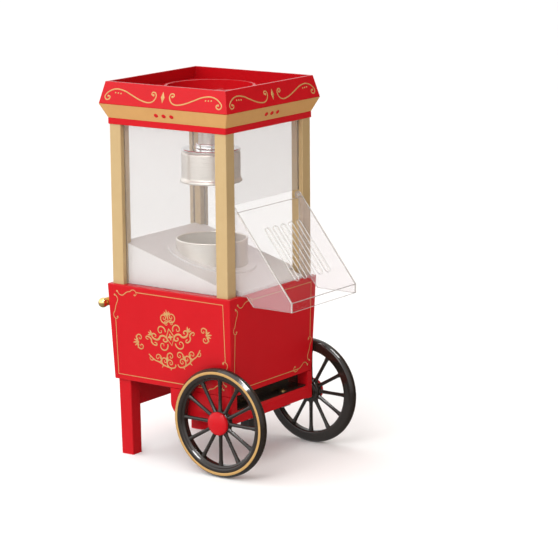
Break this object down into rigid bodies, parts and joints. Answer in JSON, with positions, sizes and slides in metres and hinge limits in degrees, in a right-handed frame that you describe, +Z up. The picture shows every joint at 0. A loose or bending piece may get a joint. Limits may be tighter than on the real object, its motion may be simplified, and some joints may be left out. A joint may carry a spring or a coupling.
{
  "type": "popcorn maker",
  "caption": "Tabletop hot-air popcorn maker shaped like a vintage street cart, with a glazed cabinet, hanging kettle, tilting clear chute hood, spoked wheels and rear push handle.",
  "frame": {"origin": "middle of the footprint, on the surface that the cart stands on", "axes": "+Z up, -Y towards the serving chute, +X to the right when looking along +Y from in front of the chute"},
  "size_m": [0.203, 0.274, 0.445],
  "materials": {
    "red_plastic": "glossy moulded red",
    "gold_paint": "satin gold paint",
    "black_plastic": "glossy black-brown moulding",
    "black_rubber": "matt",
    "brass": "polished",
    "clear_acrylic": "clear acrylic sheet",
    "white_plastic": "satin warm white",
    "brushed_aluminium": "brushed",
    "polished_metal": "polished",
    "steel": "bright zinc",
    "heater_wire": "heat-tinted wire",
    "mica_board": "mica board"
  },
  "bodies": {
    "cart": {"air_duct": "steel", "axle": "steel", "axle_beam": "red_plastic", "axle_bracket_left": "red_plastic", "axle_bracket_right": "red_plastic", "axle_keepers": "steel", "axle_spacer": "black_plastic", "axle_washers": "steel", "base_deck": "red_plastic", "base_shell": "red_plastic", "canopy_band": "gold_paint", "canopy_ceiling": "red_plastic", "canopy_crown": "red_plastic", "canopy_skirt": "red_plastic", "chamber_collar": "white_plastic", "chassis_pan": "black_plastic", "cord_gland": "black_plastic", "fan_housing": "black_plastic", "handle_bar": "brass", "handle_posts": "brass", "heater_coil": "heater_wire", "heater_frame": "mica_board", "hopper_funnel": "brushed_aluminium", "kettle_drum": "brushed_aluminium", "kettle_flange": "brushed_aluminium", "kettle_neck": "brushed_aluminium", "kettle_screws": "polished_metal", "kettle_top_plate": "polished_metal", "motor_body": "steel", "motor_mount": "steel", "pan_screws": "steel", "pillar_front_left": "gold_paint", "pillar_front_right": "gold_paint", "pillar_rear_left": "gold_paint", "pillar_rear_right": "gold_paint", "popcorn_ramp": "white_plastic", "popping_chamber": "brushed_aluminium", "rail_bumper": "black_rubber", "rear_apron": "red_plastic", "rear_leg_left": "red_plastic", "rear_leg_right": "red_plastic", "spacer_screws": "brass", "switch_housing": "black_plastic", "thermostat": "steel", "underframe_rail": "red_plastic", "window_front": "clear_acrylic", "window_left": "clear_acrylic", "window_rear": "clear_acrylic", "window_right": "clear_acrylic"},
    "hood": {"chute_hood": "clear_acrylic"},
    "left_wheel": {"wheel_left": "black_plastic", "wheel_stripe_left": "gold_paint", "hub_cap_left": "red_plastic"},
    "right_wheel": {"wheel_right": "black_plastic", "wheel_stripe_right": "gold_paint", "hub_cap_right": "red_plastic"},
    "kernel_cap": {"measuring_cap": "red_plastic"},
    "fan_rotor": {"fan_shaft": "steel", "fan_impeller": "black_plastic"},
    "rocker": {"switch_rocker": "black_plastic"}
  },
  "joints": [
    {"name": "hood_tilt", "type": "hinge", "parent": "cart", "child": "hood", "pos_m": [0, -0.056, 0.306], "axis": [-1, 0, 0], "range_deg": [0, 70]},
    {"name": "left_wheel_spin", "type": "hinge", "parent": "cart", "child": "left_wheel", "pos_m": [-0.091, -0.054, 0.064], "axis": [1, 0, 0], "continuous": true},
    {"name": "right_wheel_spin", "type": "hinge", "parent": "cart", "child": "right_wheel", "pos_m": [0.091, -0.054, 0.064], "axis": [1, 0, 0], "continuous": true},
    {"name": "cap_lift", "type": "slide", "parent": "cart", "child": "kernel_cap", "axis": [0, 0, 1], "range_m": [0, 0.06]},
    {"name": "fan_spin", "type": "hinge", "parent": "cart", "child": "fan_rotor", "pos_m": [0, 0.023, 0.135], "axis": [0, 0, 1], "continuous": true},
    {"name": "switch_rock", "type": "hinge", "parent": "cart", "child": "rocker", "pos_m": [0, 0.10959, 0.128], "axis": [-1, 0, 0], "range_deg": [0, 12]}
  ]
}
